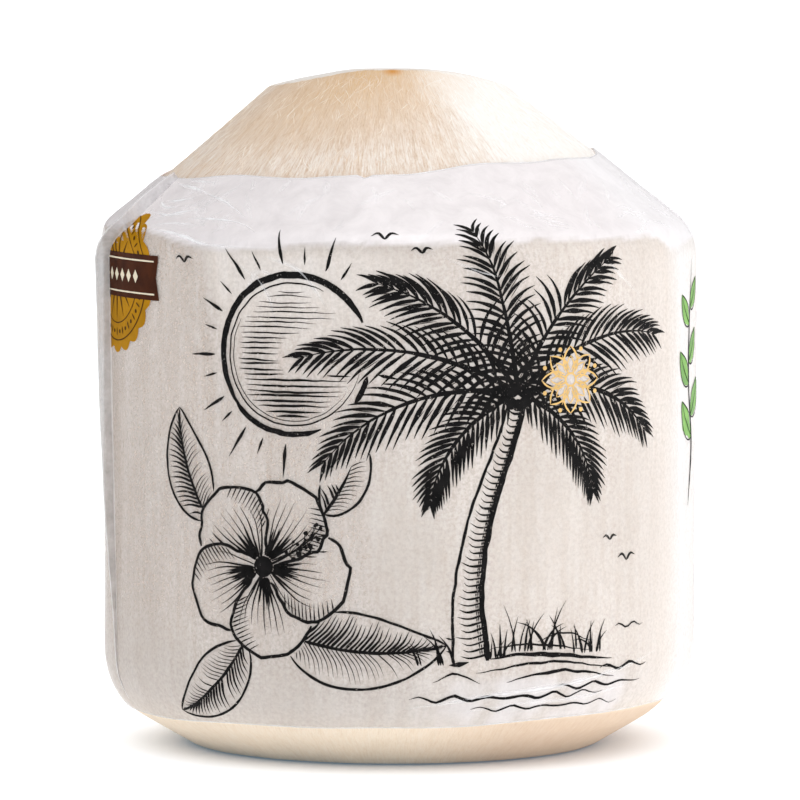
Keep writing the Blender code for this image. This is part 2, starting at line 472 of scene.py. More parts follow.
def makeHuskMaterial():
    material = newMaterial("paredFibre")
    strands = grainNoise(material, 0.13, 120, 5, 0.70, 0.35)
    slanted = grainNoise(material, 0.30, 120, 4, 0.62, 1.2)
    broad = grainNoise(material, 0.20, 22, 3, 0.6, 0.6)
    felt = grainNoise(material, 0.28, 150, 3, 0.65, 0.8)
    specks = grainNoise(material, 0.35, 60)
    clouds = noiseAt(material, 60, 5, 0.62, 0.4)
    colour = shaded(material, ramp(material, strands, husk["strandColours"]), (
        (slanted, 0.55, 0.32, (0.90, 0.83, 0.76), 0.50),
        (broad, 0.55, 0.32, (0.88, 0.80, 0.71), 0.66),
        (clouds, 0.60, 0.32, (0.92, 0.86, 0.80), 0.60),
        (felt, 0.85, 0.34, (0.84, 0.76, 0.68), 0.54),
        (specks, 0.50, 0.26, (0.80, 0.60, 0.44), 0.40),
    ))
    pale = maths(material, "ADD", attribute(material, "pale"), maths(material, "MULTIPLY", strands, 0.9))
    feltPale = span(material, felt, 0.32, 0.60, 0.58, 0.86)
    pale = maths(material, "MULTIPLY", span(material, pale, 0.72, 1.2), feltPale)
    colour = mixed(material, pale, colour, husk["paleColour"])
    low = attribute(material, "low")
    colour = mixed(material, span(material, low, 0, 1, 0.0, 0.68), colour, husk["baseColour"])
    # painted shade on the base's right side
    colour = mixed(material, span(material, low, 1, 2), colour, husk["paintedBaseShade"], "MULTIPLY")
    for name, factor, *levels in (("stain", slanted, 0.30, 0.62, 0.22), ("spot", strands, 0.2, 0.5, 0.6)):
        patch = maths(material, "MULTIPLY", attribute(material, name), span(material, factor, *levels))
        colour = mixed(material, patch, colour, husk[name + "Colour"])
    height = maths(material, "ADD", strands, maths(material, "MULTIPLY", slanted, 0.8))
    height = maths(material, "ADD", height, maths(material, "MULTIPLY", felt, 1.3))
    relief = bumped(material, height, 0.38, 0.22 * mm)
    setFinish(material, Base_Color=colour, Roughness=0.72, Specular_IOR_Level=0.3, Normal=relief)
    return material


def makeHusk():
    stops = [(0, 0)] + [(distanceAt(height), spacing) for height, spacing in husk["rows"]]
    stops += [(outlineEnd - below, spacing) for below, spacing in husk["tipRows"]]
    bm, angle, distance = blankSkin(spacedRows(stops), husk["columns"])
    # no relief on the flat base, and none at the tip, where the skin closes
    fromEnds = np.minimum(distance - distanceAt(0.0003), outlineEnd - distance)
    whole = onNut(angle, distance, huskRelief(angle, distance) * rise(fromEnds, 0, 0.006))
    height = whole[:, 2]
    places = withTipCut(whole)
    wander = 0.25 * mm * noiseOver(angle, distance, 12, 300)
    pale = np.zeros(len(angle))
    for cut in nut["tipCuts"]:
        pale = np.maximum(pale, rise(height - planeOver(whole, *cut) + wander, 0, 0.3 * mm))
    # painted light makes the cone's right side pale; the cone's lower part is a little paler all round
    side = paintedLitSide(angle, height)
    side += 0.37 * (1 - side) * rise(height, 0.1205, -0.008)
    setLayer(bm, "pale", np.maximum(pale, side))
    fromFront = degreesFromFront(angle)
    # painted shade: over 1 where the base turns to the right, where it is painted darker
    rightTurn = rise(fromFront, 0, 30) * rise(fromFront, 178, -60)
    setLayer(bm, "low", rise(distance, distanceAt(0.012), -0.004) * (1 + rightTurn))
    fromSpot = places - np.array(husk["stemSpot"])
    nearSpot = 1.2 - np.linalg.norm(fromSpot / (1.1, 1, 0.6), axis=1) / husk["spotReach"]
    setLayer(bm, "spot", np.clip(nearSpot, 0, 1))
    # the stain round the spot runs down and to the left
    below = np.clip(-fromSpot[:, 2:], 0, None)
    downLeft = fromSpot + husk["stainShift"] + np.array((1.1, 0, 0.8)) * 0.5 * below
    near = np.clip(1 - np.linalg.norm(downLeft * (0.75, 1, 1), axis=1) / husk["stainReach"], 0, 1)
    underEdge = (1 - rise(height, 0.1265, -0.008)) * rise(fromFront, 0, -12) * rise(fromFront, -75, 25)
    setLayer(bm, "stain", np.maximum(near, 0.5 * underEdge) * (1 - 0.8 * pale))
    closedSkin(bm, angle, distance, places)
    finishedPiece("paredHusk", bm, makeHuskMaterial(), "coconut")


makeHusk()


# Flat drawing: strokes are drawn in millimetres on a sheet that is then laid on the nut.
# Its x is round the drum from the front to the right, and its y the height up the drum

sheet = {
    "radius": 56,
    "zero": distanceAt(0.05) * 1000 - 50,
    "backEdge": 176,
}


def coneScale(y):
    # how much narrower the sheet gets round the cone
    return alongOutline((y + sheet["zero"]) * mm, "radius") / nut["drumRadius"]


def turned(x, y, turn, ahead, aside=0):
    # the place that lies so far ahead of another, and to its left, at this heading
    return x + ahead * cos(turn) - aside * sin(turn), y + ahead * sin(turn) + aside * cos(turn)


def ringPath(x, y, reach, start=0, sweep=2 * pi, count=40):
    turns = np.linspace(start, start + sweep, count)
    return np.column_stack((x + reach * np.cos(turns), y + reach * np.sin(turns)))


def twoSides(path, half):
    # the two lines that run half a width to the left and to the right of a path
    ahead = np.gradient(path, axis=0)
    side = np.stack((-ahead[:, 1], ahead[:, 0]), axis=1) / np.linalg.norm(ahead, axis=1)[:, None]
    return path + side * half[:, None], path - side * half[:, None]


def pointAt(path, share):
    return np.array([np.interp(share * (len(path) - 1), range(len(path)), path[:, axis]) for axis in (0, 1)])


def smoothPath(points, step):
    points = np.array(points, float)
    if len(points) > 2:
        ends = np.vstack((2 * points[0] - points[1], points, 2 * points[-1] - points[-2]))
        t = np.linspace(0, 1, 9)[:-1, None]
        parts = []
        for a, b, c, d in zip(ends, ends[1:], ends[2:], ends[3:]):
            bent = 2 * a - 5 * b + 4 * c - d + t * (3 * b - a - 3 * c + d)
            parts.append(b + 0.5 * t * (c - a + t * bent))
        points = np.vstack(parts + [points[-1:]])
    run = np.concatenate(([0], np.cumsum(np.linalg.norm(np.diff(points, axis=0), axis=1))))
    at = np.linspace(0, run[-1], max(3, int(run[-1] / step) + 1))
    return np.column_stack((np.interp(at, run, points[:, 0]), np.interp(at, run, points[:, 1])))


def shownRuns(path, hidden):
    # the stretches of a path that nothing in front of it hides
    runs, run = [], []
    for point in path:
        if any(test(point) for test in hidden):
            runs.append(run)
            run = []
        else:
            run.append(point)
    runs.append(run)
    return [np.array(run) for run in runs if len(run) > 2]


def brush(
    bm, points, width, taper=(0.25, 0.35), ridge=0, lift=0, hidden=(), step=0.9, shake=0.07, strength=1,
):
    seed = random.random() * 50
    fade = bm.verts.layers.float.get("fade")
    path = smoothPath(points, step)
    for run in shownRuns(path, hidden) if hidden else [path]:
        count = len(run)
        t = np.linspace(0, 1, count)
        wander = np.array([noise.noise((seed, 0.45 * step * k, 0)) for k in range(count)])
        uneven = np.array([noise.noise((seed, 0.7 * step * k, 9)) for k in range(count)])
        narrow = coneScale(run[:, 1])
        ahead = np.gradient(run, axis=0) * np.stack((narrow, np.ones(count)), axis=1)
        side = np.stack((-ahead[:, 1], ahead[:, 0]), axis=1) / (np.linalg.norm(ahead, axis=1)[:, None] + 1e-9)
        side[:, 0] /= narrow
        press = np.minimum(1, (t + 0.02) / max(taper[0], 0.01)) ** 0.7
        press = press * np.minimum(1, (1.02 - t) / max(taper[1], 0.01)) ** 0.7
        half = 0.5 * width * press * (1 + 0.25 * uneven)
        middle = run + side * (shake * wander)[:, None]
        columns = 2 if ridge else 1
        grid = bmesh.ops.create_grid(bm, x_segments=columns, y_segments=count - 1, size=0.5)
        for vert in grid["verts"]:
            k = round((vert.co.y + 0.5) * (count - 1))
            across = 2 * vert.co.x
            x, y = middle[k] + side[k] * half[k] * across
            vert.co = (x, y, lift + ridge * press[k] * (1 - abs(across)))
            if fade:
                vert[fade] = strength * press[k] * (1 - abs(across))


def dot(bm, x, y, radius, lift, sides=8):
    spot = bmesh.ops.create_circle(bm, cap_ends=True, segments=sides, radius=radius)["verts"]
    bmesh.ops.translate(bm, verts=spot, vec=(x, y, lift))


def onSheet(x, y):
    # a place on the sheet as an angle and a distance along the outline
    return x / sheet["radius"] - pi / 2, (y + sheet["zero"]) * mm


def laidFlat(bm):
    # every stroke looks up from the sheet, whichever way round it was drawn
    bm.normal_update()
    bmesh.ops.reverse_faces(bm, faces=[face for face in bm.faces if face.normal.z < 0])
    x, y, lift = np.array([vert.co for vert in bm.verts]).T
    return *onSheet(x, y), lift * mm


def printedPiece(name, bm, material):
    # the sheet's strokes go down on the film's outer face
    angle, distance, lift = laidFlat(bm)
    moveTo(bm, onNut(angle, distance, filmLift(angle, distance) + lift))
    finishedPiece(name, bm, material, "film_sleeve")


# Loose fibres on the bare cone

fibres = {
    "seed": 12,
    "count": 2400,
    "length": (1.2, 4.6),
    "shortest": 1.5,
    "width": (0.06, 0.13),
    "slant": 0.5,
    "bend": 0.12,
    "low": 104,
    "bareFrom": 108,
    "belowTip": 24.5,
    "lift": 0.03,
    "ridge": 0.06,
    "overCuts": 0.08 * mm,
    "colours": [(0.34, (0.72, 0.53, 0.36)), (0.50, (0.88, 0.76, 0.63)), (0.68, (0.95, 0.89, 0.81))],
    # painted light on the fibres of the cone's lit right side
    "paleColour": (0.985, 0.97, 0.95),
}


def makeFibres():
    random.seed(fibres["seed"])
    bm = bmesh.new()
    top = (outlineEnd * 1000 - sheet["zero"]) - fibres["belowTip"]
    for _ in range(fibres["count"]):
        x = random.uniform(-sheet["backEdge"], sheet["backEdge"])
        y = random.uniform(fibres["low"], top)
        length = random.uniform(*fibres["length"])
        slant = random.gauss(0, fibres["slant"]) * length
        bend = random.gauss(0, fibres["bend"]) * length
        start, end = max(y, fibres["bareFrom"]), min(y + length, top)
        middle = (x + (slant / 2 + bend) / coneScale(y), (start + end) / 2)
        points = [(x, start), middle, (x + slant / coneScale(y), end)]
        if end - start > fibres["shortest"]:
            width = random.uniform(*fibres["width"])
            brush(bm, points, width, (0.5, 0.6), ridge=fibres["ridge"], lift=fibres["lift"])
    angle, distance, lift = laidFlat(bm)
    whole = onNut(angle, distance, huskRelief(angle, distance) + lift)
    # painted light: fibres on the cone's lit right side are painted pale
    setLayer(bm, "pale", paintedLitSide(angle, whole[:, 2]))
    moveTo(bm, withTipCut(whole, fibres["overCuts"]))
    material = newMaterial("looseFibre")
    colour = ramp(material, noiseAt(material, 160, 2, 0.5), fibres["colours"])
    colour = mixed(material, attribute(material, "pale"), colour, fibres["paleColour"])
    setFinish(material, Base_Color=colour, Roughness=0.65)
    finishedPiece("looseFibres", bm, material, "coconut")


makeFibres()


# The film: a sleeve, tight on the drum and loose over the cone

film = {
    "columns": 470,
    # the row spacing up to each share of the way from the lower hem to the upper
    "rows": ((0, 0), (0.16, 0.9 * mm), (0.20, 1.2 * mm), (0.76, 1.9 * mm), (0.84, 0.8 * mm), (1, 0.62 * mm)),
    "wall": 0.08 * mm,
    "drumLift": 0.36 * mm,
    "bandLift": 0.52 * mm,
    "bandRipple": 0.13 * mm,
    "drumRipple": 0.035 * mm,
    "topHem": 109.2 * mm,
    "topTilt": 2.2 * mm,
    "bottomHem": 8.8 * mm,
    "bottomTilt": 1.1 * mm,
    "hemWave": 0.35 * mm,
    "notch": (radians(-97.5), 0.9 * mm, radians(2.0)),
    # the milky film's lower border: degrees from the front, and how far it dips below the shoulder
    "milkLine": 97.0 * mm,
    "borderTurns": (-180, -100, -75, -57, -48, -40, -27, -18, 15, 25, 28, 32, 55, 60, 64, 80, 100, 180),
    "borderDips": (0.3, 0.2, -1.0, -1.0, 0.3, 1.4, 1.3, 0.2, 0, 0, -1.0, 0, 0, 0.4, 2.4, 1.6, 0.3, 0.3),
    "looseHem": (radians(-88), radians(-32), 18.6 * mm),
    # how white the film on the drum is, at these degrees from the front: painted glare to the right, a
    # painted light step just left of the front, and a little whiter round the back
    "veilAndGlareTurns": (-180, -120, -60, -8, -3, 44, 52, 61, 70, 110, 150, 180),
    "veilAndGlareLevels": (0.2, 0.1, 0, 0, 0.18, 0.19, 0.26, 0.48, 0.74, 0.50, 0.3, 0.2),
}


def hemWaveAt(angle):
    return film["hemWave"] * (np.sin(5 * angle + 0.7) + 0.6 * np.sin(11 * angle + 2.1))


def topHemAt(angle):
    middle, depth, width = film["notch"]
    notch = depth * np.clip(1 - abs(angle - middle) / width, 0, 1)
    return distanceAt(film["topHem"] + film["topTilt"] * np.cos(angle) + hemWaveAt(angle)) - notch


def bottomHemAt(angle):
    return distanceAt(film["bottomHem"] + film["bottomTilt"] * np.cos(angle) + 0.5 * hemWaveAt(angle + 1))


def filmLift(angle, distance):
    # how far the film's outer face stands off the nut
    onBand = rise(distance, distanceAt(0.0955), 0.004)
    ripple = noiseOver(angle, distance, 9, 130) + 0.35 * noiseOver(angle, distance, 30, 420, 7)
    lift = film["drumLift"] + onBand * (film["bandLift"] - film["drumLift"])
    return lift + ripple * (film["drumRipple"] + onBand * (film["bandRipple"] - film["drumRipple"]))


def milkiness(angle, distance):
    # 1 where the film stands off the nut and looks white, 0 where it clings and is clear
    wander = 0.45 * mm * noiseOver(angle, distance * 0, 9, 1, 3)
    wander += 0.25 * mm * noiseOver(angle, distance * 0, 40, 1, 5)
    dip = np.interp(degreesFromFront(angle), film["borderTurns"], film["borderDips"]) * mm
    band = np.clip((distance - distanceAt(film["milkLine"]) + dip + wander) / (0.8 * mm) + 0.5, 0, 1)
    start, end, height = film["looseHem"]
    along = rise(angle, start, 0.2) * rise(angle, end, -0.2)
    patch = 0.5 + noiseOver(angle, distance, 12, 160, 2)
    low = along * rise(distance, distanceAt(height), -1.6 * mm) * np.clip(0.9 * patch, 0.1, 0.6)
    return np.maximum(band, low)


def veilAndGlareOver(angle, distance):
    # painted light: the film on the drum is painted whiter to the right, as glare where the light falls, and
    # from one knife flat on, as light on that flat
    fromFront = degreesFromFront(angle)
    wander = 2.0 * noiseOver(angle * 0, distance, 1, 45, 6)
    veil = np.interp(fromFront + 1.2 * wander, film["veilAndGlareTurns"], film["veilAndGlareLevels"])
    past = rise(fromFront + 40 + wander, 0, 4) * rise(fromFront, 25, -40)
    past *= rise(distance, distanceAt(0.0975), -0.003)
    veil = np.maximum(veil, 0.55 * past * rise(distance, distanceAt(0.070), 0.018))
    # and painted whiter again where it turns in to the base, as painted light against the shade under the
    # curve
    return np.maximum(veil, 0.32 * rise(distance, distanceAt(0.030), -0.016))


def makeFilmMaterial():
    material = newMaterial("shrunkFilm")
    milk, veil = attribute(material, "milk"), attribute(material, "veil")
    mottle = noiseAt(material, 170, 6, 0.68, 0.5)
    crinkle = noiseAt(material, 480, 3, 0.6, 0.8)
    flecks = noiseAt(material, 1500, 3, 0.62, 0.3)
    patches = noiseAt(material, 26, 3, 0.5)
    tight = ramp(material, patches, [(0.35, (0.72, 0.692, 0.674)), (0.65, (0.81, 0.785, 0.767))])
    tight = shaded(material, tight, (
        (grainNoise(material, 0.12, 9, 2, 0.5, 0.3), 0.8, 0.40, (0.93, 0.915, 0.90), 0.56),
        (grainNoise(material, 0.07, 48, 3, 0.55, 0.3), 0.8, 0.33, (0.88, 0.85, 0.825), 0.62),
        (grainNoise(material, 0.35, 130, 3, 0.6, 0.4), 0.55, 0.33, (0.88, 0.85, 0.825), 0.56),
        (flecks, 0.35, 0.34, (0.86, 0.84, 0.82), 0.54),
    ))
    # painted glare: the clear and the milky film both turn whiter with it
    whiter = ramp(material, veil, [(0.5, (0.98, 0.905, 0.84)), (0.75, (0.975, 0.968, 0.97))])
    tight = mixed(material, veil, tight, whiter)
    milky = ramp(material, mottle, [(0.3, (0.805, 0.760, 0.763)), (0.62, (0.87, 0.823, 0.826))])
    milky = mixed(material, span(material, veil, 0.19, 0.50, 0.0, 0.6), milky, (0.975, 0.96, 0.97))
    clear = span(material, flecks, 0.35, 0.65, 0.30, 0.40)
    clear = maths(material, "ADD", clear, maths(material, "MULTIPLY", veil, 0.48))
    alpha = between(material, milk, clear, span(material, mottle, 0.3, 0.6, 0.86, 0.95))
    height = maths(material, "ADD", mottle, maths(material, "MULTIPLY", crinkle, 0.5))
    setFinish(
        material, Base_Color=mixed(material, milk, tight, milky), Alpha=alpha, Roughness=0.40,
        Specular_IOR_Level=0.3, Normal=bumped(material, height, 0.22, 0.15 * mm),
    )
    return material


def makeFilm():
    # the blank's height is a share of the way between the two hems
    length = topHemAt(0.0) - bottomHemAt(0.0)
    rows = spacedRows([(share * length, spacing) for share, spacing in film["rows"]])
    bm, angle, share = blankSkin([row / length for row in rows], film["columns"])
    bottom = bottomHemAt(angle)
    distance = bottom + (topHemAt(angle) - bottom) * share
    setLayer(bm, "milk", milkiness(angle, distance))
    setLayer(bm, "veil", veilAndGlareOver(angle, distance))
    closedSkin(bm, angle, distance, onNut(angle, distance, filmLift(angle, distance)))
    bmesh.ops.solidify(bm, geom=bm.faces, thickness=film["wall"])
    finishedPiece("shrunkSleeve", bm, makeFilmMaterial(), "film_sleeve")


makeFilm()


# The film's two side folds, which stand out as thin flaps

folds = {
    "rows": 120,
    "columns": 8,
    "wall": 0.12 * mm,
    "foot": 0.0003,
    "heights": (0.010, 0.012, 0.027, 0.045, 0.065, 0.0945, 0.102, 0.1075, 0.1105),
    # each fold's direction, its milkiness low down, its brightness, which is painted light on the lit right
    # fold, and how far it stands out at each height
    "left": (radians(194.6), 0.0, 1.0, (0.1, 0.2, 1.0, 2.2, 2.7, 3.0, 2.8, 1.6, 1.2)),
    "right": (radians(-5.0), 1.0, 1.36, (0.1, 0.2, 0.3, 0.5, 1.1, 1.2, 0.6, 0.2, 0.1)),
    "driftHeights": (0.025, 0.0925, 0.0945, 0.0985, 0.1065),
    "drifts": (radians(4.2), 0.0, radians(2.2), radians(10.8), radians(8.0)),
    "curl": 0.30 * mm,
    "ripple": 0.22 * mm,
    "clearColours": [(0.3, (0.34, 0.315, 0.30)), (0.7, (0.52, 0.49, 0.475))],
    "milkColours": [(0.3, (0.54, 0.52, 0.53)), (0.7, (0.70, 0.68, 0.69))],
    "edgeColour": (0.90, 0.89, 0.89),
}


def makeFoldMaterial(name, paintedLight):
    material = newMaterial(name)
    across, milk = attribute(material, "share"), attribute(material, "milk")
    mottle = noiseAt(material, 240, 4)
    fromMiddle = maths(material, "ABSOLUTE", maths(material, "SUBTRACT", across, 0.5))
    edge = span(material, fromMiddle, 0.36, 0.5, 0.0, 0.35)
    clear = maths(material, "ADD", span(material, mottle, 0.3, 0.7, 0.52, 0.66), edge)
    alpha = between(material, milk, clear, span(material, mottle, 0.35, 0.65, 0.35, 0.6))
    # painted light: the milky colours are scaled up on the lit right fold
    milky = [(place, [paintedLight * part for part in shade]) for place, shade in folds["milkColours"]]
    colour = ramp(material, mottle, folds["clearColours"])
    colour = mixed(material, milk, colour, ramp(material, mottle, milky))
    colour = mixed(material, maths(material, "MULTIPLY", edge, 2.2), colour, folds["edgeColour"])
    relief = bumped(material, mottle, 0.3, 0.2 * mm)
    setFinish(material, Base_Color=colour, Alpha=alpha, Roughness=0.45, Normal=relief)
    return material


def makeFold(name, direction, pale, paintedLight, proud):
    rows = np.linspace(distanceAt(folds["heights"][0]), topHemAt(direction), folds["rows"])
    bm = bmesh.new()
    bmesh.ops.create_grid(bm, x_segments=folds["columns"], y_segments=folds["rows"] - 1, size=0.5)
    flat = np.array([vert.co for vert in bm.verts])
    share = flat[:, 0] + 0.5
    distance = rows[np.round((flat[:, 1] + 0.5) * (folds["rows"] - 1)).astype(int)]
    height = alongOutline(distance, "height")
    # only the left fold drifts
    drift = np.interp(height, folds["driftHeights"], folds["drifts"]) * 0.5 * (1 - cos(direction))
    reach = np.interp(height, folds["heights"], proud) * mm
    lift = (1 - share) * folds["foot"] + share * (folds["foot"] + reach)
    curl = folds["curl"] * (share**2 + 0.5 * np.sin(distance * 330) * share * (1 - share) * 3)
    curl += folds["ripple"] * share * noiseOver(distance * 0 + direction, distance, 3, 260)
    setLayer(bm, "share", share)
    setLayer(bm, "milk", np.maximum(pale, rise(height, 0.0955, 0.003)))
    moveTo(bm, onNut(direction + drift + curl / nut["drumRadius"], distance, lift))
    bmesh.ops.recalc_face_normals(bm, faces=bm.faces)
    bmesh.ops.solidify(bm, geom=bm.faces, thickness=folds["wall"])
    finishedPiece(name, bm, makeFoldMaterial(name + "Film", paintedLight), "film_sleeve")


makeFold("leftFold", *folds["left"])
makeFold("rightFold", *folds["right"])


# Creases: fine raised ridges in the film, where it has shrunk unevenly; their white is partly the folded film
# and partly a painted highlight

creases = {
    "seed": 5,
    "lift": 0.01,
    "bandLow": 98.5,
    "soft": 120,
    "hemWidth": 0.35,
    "hemInward": 0.16,
    # clear ones that fan out from the left fold
    "fan": (
        ((-69.5, 111.5), (-68, 108.5), (-65.5, 104.5)), ((-63, 111), (-52.5, 110), (-44.5, 108.5)),
        ((-57.5, 101), (-50, 103.5), (-43.5, 105)), ((-55, 99.6), (-48, 100.5), (-41, 100.5)),
        ((-47, 102), (-36, 102), (-31, 101), (-27.5, 99)), ((-60, 103), (-52, 102.5), (-46, 104)),
        ((-50, 109.5), (-40, 107), (-31.5, 103)), ((-58, 112), (-47, 112)),
        ((-59, 106), (-52, 107), (-48.5, 108.5)), ((-55, 98.8), (-46, 98), (-38.5, 96.4), (-31, 96.2)),
        ((-64, 107), (-57, 104.5), (-50, 105.5)),
    ),
    # where each star of creases is, how many it has and how far they reach
    "stars": (
        (30, 104, 7, 9), (58, 101, 8, 8), (110, 105, 12, 9),
        (-130, 104, 12, 9), (165, 106, 10, 8), (-100, 101, 7, 8),
    ),
    # long soft ones that run down from the shoulder
    "onDrum": (
        ((-31.5, 93.5), (-26, 89.5), (-22.5, 81)), ((-26, 95), (-18.5, 92), (-13, 85)),
        ((-30, 86), (-27, 92), (-22, 90)), ((40, 95), (46, 90), (52, 86)), ((8, 95), (15, 92), (24, 90)),
        ((95, 95), (103, 90), (112, 84)), ((140, 94), (133, 88), (128, 82)),
        ((-100, 95), (-108, 90), (-116, 84)), ((-150, 94), (-144, 90), (-140, 85)),
    ),
    # the folds over the loosened hem: each one's line, width, taper, ridge and strength
    "overHem": (
        (((1, 12.2), (17, 14.6), (34, 16.2), (50, 19.0), (57, 20.5)), 1.5, (0.3, 0.3), 0.05, 0.6),
        (((12, 11.3), (24, 12.8), (38, 13.4), (52, 15.6)), 1.2, (0.4, 0.4), 0.04, 0.45),
    ),
    # the creases' white: the folded film, with a painted highlight on it
    "colour": (0.97, 0.965, 0.975),
}


def makeCreases():
    random.seed(creases["seed"])
    bm = bmesh.new()
    bm.verts.layers.float.new("fade")

    def crease(points, width, taper, ridge, strength, **more):
        brush(bm, points, width, taper, ridge=ridge, lift=creases["lift"], strength=strength, **more)

    # soft puckers, all round the band over the cone
    for _ in range(creases["soft"]):
        x = random.uniform(-sheet["backEdge"], sheet["backEdge"])
        y = random.uniform(creases["bandLow"], 110)
        reach = random.uniform(2.5, 8)
        lean = random.gauss(0, 1.0) * reach
        bend = (x + lean * 0.5 + random.gauss(0, 0.6), y + reach * 0.5)
        line = [(x, y), bend, (x + lean, min(y + reach, 113.5))]
        crease(line, random.uniform(1.2, 2.6), (0.5, 0.5), random.uniform(0.03, 0.06), 0.35)
    for line in creases["fan"]:
        crease(line, random.uniform(0.8, 1.25), (0.35, 0.5), 0.05, 1.2, step=0.6)
    for x, y, count, reach in creases["stars"]:
        for _ in range(count):
            turn = random.choice((0, pi)) + random.gauss(0, 0.32)
            length = reach * random.uniform(0.5, 1.2)
            x0, y0 = x + random.gauss(0, 3), min(max(y + random.gauss(0, 2), creases["bandLow"]), 112.5)
            y1 = min(max(y0 + sin(turn) * length, 98), 113)
            bend = (x0 + cos(turn) * length * 0.5, (y0 + y1) / 2 + random.gauss(0, 0.7))
            line = [(x0, y0), bend, (x0 + cos(turn) * length, y1)]
            crease(line, random.uniform(0.6, 1.1), (0.4, 0.5), 0.04, 0.45)
    for line in creases["onDrum"]:
        crease(line, random.uniform(0.9, 1.5), (0.4, 0.5), 0.05, 0.42)
    for fold in creases["overHem"]:
        crease(*fold)
    # a bead along both hems: the film's cut edge, painted white partly as a highlight on it
    around = np.linspace(-sheet["backEdge"], sheet["backEdge"], 360)
    angle, _ = onSheet(around, 0)
    for hem, inward in ((topHemAt(angle), -creases["hemInward"]), (bottomHemAt(angle), creases["hemInward"])):
        path = np.column_stack((around, hem * 1000 - sheet["zero"] + inward))
        brush(bm, path, creases["hemWidth"], (0.01, 0.01), ridge=0.05, shake=0.0, step=1.0)
    material = newMaterial("creasedFilm")
    # painted highlight: a mottled white glint along each crease
    paintedGlint = span(material, noiseAt(material, 300), 0.35, 0.6, 0.55, 1.0)
    alpha = maths(material, "MULTIPLY", paintedGlint, attribute(material, "fade"))
    setFinish(material, Base_Color=creases["colour"], Alpha=alpha, Roughness=0.25)
    printedPiece("filmCreases", bm, material)


makeCreases()


# The print's ink: the tools that draw its motifs

ink = {
    "seed": 31,
    "lift": 0.05,
    "colours": [(0.3, (0.004, 0.004, 0.004)), (0.75, (0.012, 0.011, 0.011))],
    "veinSpacing": 0.85,
    # the width of a leaf's veins and how far they reach, on its left and on its right
    "veins": ((0.45, 0.97), (0.2, 0.92)),
    "sunLines": 0.95,
    "stamens": 26,
}


def inkBrush(bm, points, width, taper=(0.25, 0.35), hidden=(), **more):
    brush(bm, points, width, taper, lift=ink["lift"], hidden=hidden, **more)


def curveFrom(x, y, start, end, length, count=7):
    # a curve that leaves at one heading and ends at another
    points = [(x, y)]
    for k in range(count):
        heading = start + (end - start) * ((k + 0.5) / count) ** 1.2
        x, y = x + cos(heading) * length / count, y + sin(heading) * length / count
        points.append((x, y))
    return points


def within(shape):
    # a test for a point inside a closed ring of points
    ring = np.array(shape, float)
    low, high = ring.min(axis=0), ring.max(axis=0)
    after = np.roll(ring, -1, axis=0)

    def test(point):
        x, y = point
        if x < low[0] or x > high[0] or y < low[1] or y > high[1]:
            return False
        crosses = (ring[:, 1] > y) != (after[:, 1] > y)
        climb = np.where(after[:, 1] == ring[:, 1], 1, after[:, 1] - ring[:, 1])
        at = ring[:, 0] + (y - ring[:, 1]) / climb * (after[:, 0] - ring[:, 0])
        return bool((crosses & (at > x)).sum() % 2)

    return test


def leafShape(x, y, start, end, length, halfWidth):
    rib = smoothPath(curveFrom(x, y, start, end, length), length / 28)
    along = np.linspace(0, 1, len(rib))
    return rib, *twoSides(rib, halfWidth * np.sin(pi * along**0.8) ** 0.8)


def drawLeaf(bm, x, y, start, end, length, halfWidth, hidden):
    rib, left, right = leafShape(x, y, radians(start), radians(end), length, halfWidth)
    for edge in (left, right):
        inkBrush(bm, edge, 0.5, (0.1, 0.1), hidden)
    inkBrush(bm, rib, 0.6, (0.05, 0.5), hidden)
    count = int(length / ink["veinSpacing"])
    for k in range(1, count):
        at = k / count
        here = pointAt(rib, at)
        for edge, (width, reach) in zip((left, right), ink["veins"]):
            tip = here + (pointAt(edge, min(at + 0.13, 0.985)) - here) * reach * random.uniform(0.75, 1.0)
            vein = [here, (here + tip) / 2 + (rib[-1] - rib[0]) * 0.02, tip]
            if random.random() < 0.94:
                inkBrush(bm, vein, width * random.uniform(0.8, 1.25), (0.05, 0.7), hidden, step=0.7)


def drawFrond(bm, x, y, start, end, length, spread, hidden, count=21):
    rib = smoothPath(curveFrom(x, y, radians(start), radians(end), length, 9), 0.6)
    inkBrush(bm, rib, 0.95, (0.03, 0.8), hidden)
    ahead = np.gradient(rib, axis=0)
    heading = np.arctan2(ahead[:, 1], ahead[:, 0])
    for k in range(count):
        at = 0.07 + 0.92 * k / (count - 1)
        i = min(int(at * (len(rib) - 1)), len(rib) - 1)
        reach = spread * (0.25 + 0.75 * sin(pi * (0.12 + 0.80 * at))) * random.uniform(0.88, 1.1)
        for way in (1, -1):
            # each leaflet droops, round whichever side is nearer
            first = heading[i] + way * radians(62 - 40 * at)
            down = radians(270 if cos(first) < 0 and first > 0 else -90)
            leaflet = curveFrom(*rib[i], first, first + (down - first) * 0.28, reach, 4)
            inkBrush(bm, leaflet, random.uniform(0.75, 1.05), (0.35, 0.8), hidden, step=0.8)
            if random.random() < 0.5:
                off = leaflet[1][0] + 0.5, leaflet[1][1] - 0.5
                inkBrush(bm, [off, leaflet[3]], 0.16, (0.3, 0.6), hidden, step=0.8)
    return rib


